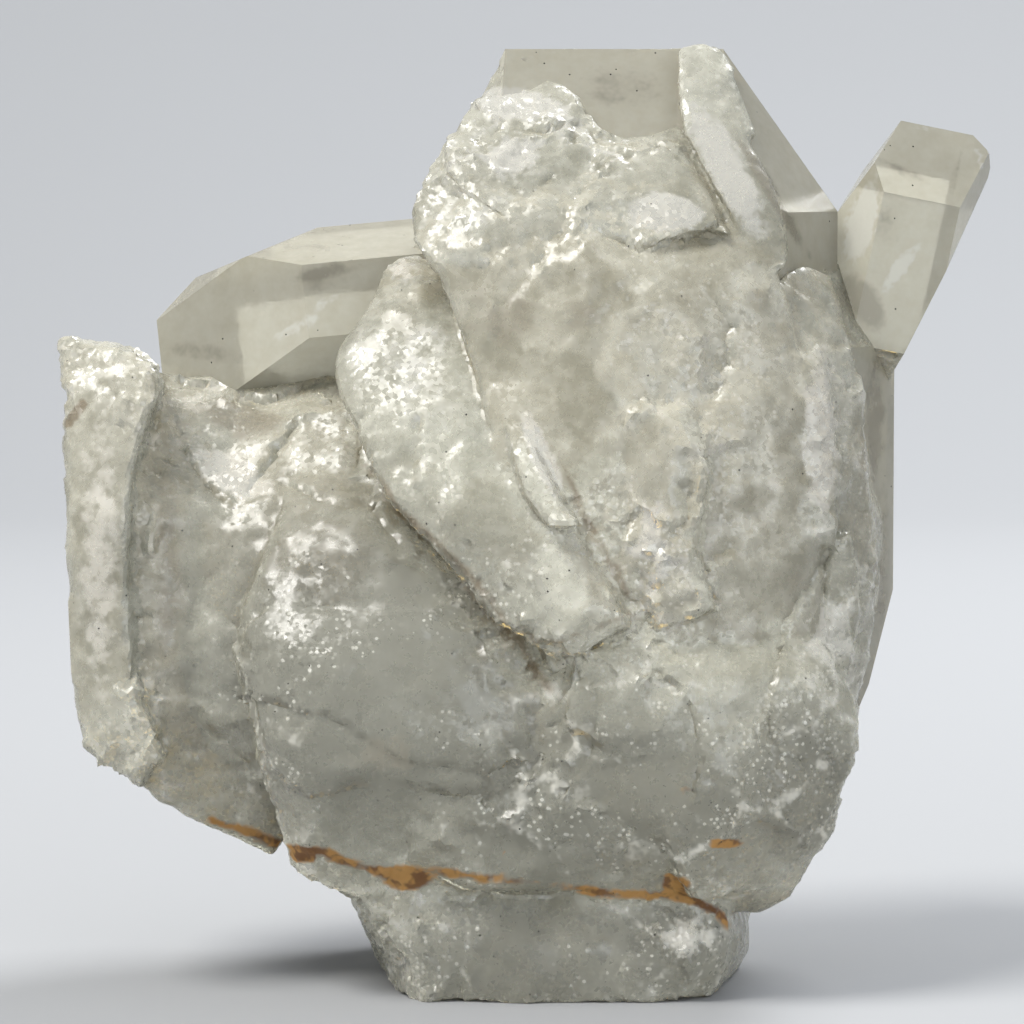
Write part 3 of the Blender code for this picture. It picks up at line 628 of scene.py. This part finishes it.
def quartz_material(name, pale, shade, mottling, transmission, calm_tilt, tilt, smooth, dull):
    """Facets lean by calm_tilt where the stone is smooth and by tilt more where it is rough. smooth is the roughness
    of the facets that glint, dull that of the others in the cloudiest places."""
    material = bpy.data.materials.new(name)
    material.use_nodes = True
    tree = material.node_tree
    shader = tree.nodes["Principled BSDF"]
    facet = use_group(tree, facets, Tilt=math_node(tree, "MULTIPLY_ADD", mask(tree, "rough"), tilt, calm_tilt))
    colour = use_group(tree, quartz_colour, Pale=pale, Shade=shade, Mottling=mottling,
                       Sparkle=facet["Sparkle"], Speck=facet["Speck"])
    tree.links.new(colour["Colour"], shader.inputs["Base Color"])
    tree.links.new(facet["Normal"], shader.inputs["Normal"])
    rough = math_node(tree, "MULTIPLY_ADD", colour["Dullness"], (dull - smooth) / 2, (dull + smooth) / 2)
    plain = math_node(tree, "MAXIMUM", math_node(tree, "SUBTRACT", 1.0, facet["Glint"]),
                      math_node(tree, "MULTIPLY", mask(tree, "painted_shade"), PAINTED_SHADE_DULLNESS))
    rough = math_node(tree, "MULTIPLY_ADD", math_node(tree, "SUBTRACT", rough, smooth), plain, smooth)
    rough = math_node(tree, "MULTIPLY_ADD", colour["Rust"], RUST_DULLNESS, rough)
    tree.links.new(rough, shader.inputs["Roughness"])
    shader.inputs["IOR"].default_value = QUARTZ_IOR
    shader.inputs["Transmission Weight"].default_value = transmission
    smoke = node(tree, "ShaderNodeVolumeAbsorption", Color=SMOKE_IN_QUARTZ, Density=SMOKE_DENSITY)
    tree.links.new(smoke.outputs[0], tree.nodes["Material Output"].inputs["Volume"])
    return material


milky = quartz_material("milky_quartz", pale=(0.98, 0.97, 0.83, 1), shade=(0.50, 0.49, 0.39, 1), mottling=1.25,
                        transmission=0.50, calm_tilt=0.05, tilt=0.38, smooth=0.16, dull=0.36)
clear = quartz_material("clear_quartz", pale=(0.98, 0.955, 0.81, 1), shade=(0.74, 0.70, 0.55, 1), mottling=0.9,
                        transmission=0.62, calm_tilt=0.03, tilt=0.2, smooth=0.10, dull=0.26)
print("materials:", milky.name, clear.name)

# %% [markdown]
# ## The finished piece
#
# The mesh goes back to metres and gets its two materials, milky where it is broken and clear on whole faces. Smooth
# shading hides the triangles, but the little cliffs between cells and the edges of the crystals have to stay crisp, so
# every edge that bends more than a few degrees is marked sharp.

# %% Put the piece together
SHARP = math.radians(9.0)   # edges that bend more than this stay crisp
places *= MM
write_places()
data.materials.clear()
data.materials.append(milky)
data.materials.append(clear)
data.polygons.foreach_set("use_smooth", np.ones(len(triangles), dtype=bool))
data.set_sharp_from_angle(angle=SHARP)
data.polygons.foreach_set("material_index", slots)
piece = bpy.data.objects.new("quartz_cluster_stone", data)
bpy.context.scene.collection.objects.link(piece)
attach(piece, "root")
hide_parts("quartz_cluster")
print("piece:", piece.name, len(data.polygons), "triangles")

# %% [markdown]
# ## Floor, light and camera
#
# The stage is a pale sheet that curves up behind the cluster. One large soft light stands high at the left, a weaker
# one fills the front right, and one from behind makes the thin edges glow. Light may bounce only a few times, because
# every bounce inside the clear stone costs time and the later ones add next to nothing.


# %% Stage
PAPER = (0.392, 0.40, 0.41, 1)
ROUND_STEPS = 12            # flat strips in the curve of the backdrop
MIDDLE = Vector((0, 0, 0.04))               # of the cluster, in metres
ROOM_LIGHT, ROOM_STRENGTH = (0.76, 0.79, 0.84, 1), 0.68


def cyclorama():
    """A floor that curves up into a wall, as one sheet. Sizes are in metres."""
    front_edge, radius, depth, height, half_width = -1.2, 0.35, 0.55, 1.3, 1.4
    profile = [(front_edge, 0.0), (depth, 0.0)]
    for step in range(1, ROUND_STEPS + 1):
        angle = math.radians(90 * step / ROUND_STEPS)
        profile.append((depth + radius * math.sin(angle), radius * (1 - math.cos(angle))))
    profile.append((depth + radius, height))
    mesh = bmesh.new()
    rows = [[mesh.verts.new((x, y, z)) for x in (-half_width, half_width)] for y, z in profile]
    for low, high in zip(rows, rows[1:]):
        mesh.faces.new((low[0], low[1], high[1], high[0]))
    sheet = bpy.data.meshes.new("backdrop")
    mesh.to_mesh(sheet)
    mesh.free()
    sheet.polygons.foreach_set("use_smooth", [True] * len(sheet.polygons))
    backdrop = bpy.data.objects.new("backdrop", sheet)
    bpy.context.scene.collection.objects.link(backdrop)
    paper = bpy.data.materials.new("pale_paper")
    paper.use_nodes = True
    shader = paper.node_tree.nodes["Principled BSDF"]
    shader.inputs["Base Color"].default_value = PAPER
    shader.inputs["Roughness"].default_value = 0.9
    sheet.materials.append(paper)
    return backdrop


def soft_light(name, place, size, power, colour):
    """A round lamp of a size in metres and a power in watts, turned to the cluster."""
    lamp = bpy.data.lights.new(name, "AREA")
    lamp.shape = "DISK"
    lamp.size = size
    lamp.energy = power
    lamp.color = colour
    light = bpy.data.objects.new(name, lamp)
    light.location = place
    light.rotation_euler = (MIDDLE - Vector(place)).to_track_quat("-Z", "Y").to_euler()
    bpy.context.scene.collection.objects.link(light)
    return light


cyclorama()
soft_light("key_light", (-0.50, -0.26, 0.88), 0.50, 9.8, (1.0, 0.98, 0.94))
soft_light("fill_light", (0.45, -0.80, 0.30), 0.5, 1.9, (0.90, 0.95, 1.0))
soft_light("rim_light", (0.30, 0.50, 0.65), 0.4, 6.0, (0.97, 0.98, 1.0))

scene = bpy.context.scene
world = bpy.data.worlds.new("soft_room")
world.use_nodes = True
world.node_tree.nodes["Background"].inputs["Color"].default_value = ROOM_LIGHT
world.node_tree.nodes["Background"].inputs["Strength"].default_value = ROOM_STRENGTH
scene.world = world
scene.view_settings.view_transform = "Standard"
scene.cycles.use_light_tree = False     # it costs more than it saves with three lamps
scene.cycles.max_bounces = 3
scene.cycles.transmission_bounces = 3
scene.cycles.diffuse_bounces = 1
scene.cycles.glossy_bounces = 1

# %% Camera
camera_data = bpy.data.cameras.new("camera")
camera_data.sensor_width = SENSOR
camera_data.lens = SENSOR * DISTANCE / (PICTURE * PIXEL)
camera_data.clip_start = 0.01
camera = bpy.data.objects.new("camera", camera_data)
camera.location = Vector((LOOKED_AT - forward * DISTANCE) * MM)
camera.rotation_euler = Vector(forward).to_track_quat("-Z", "Y").to_euler()
scene.collection.objects.link(camera)
scene.camera = camera
print("camera: lens", round(camera_data.lens, 1), "mm")
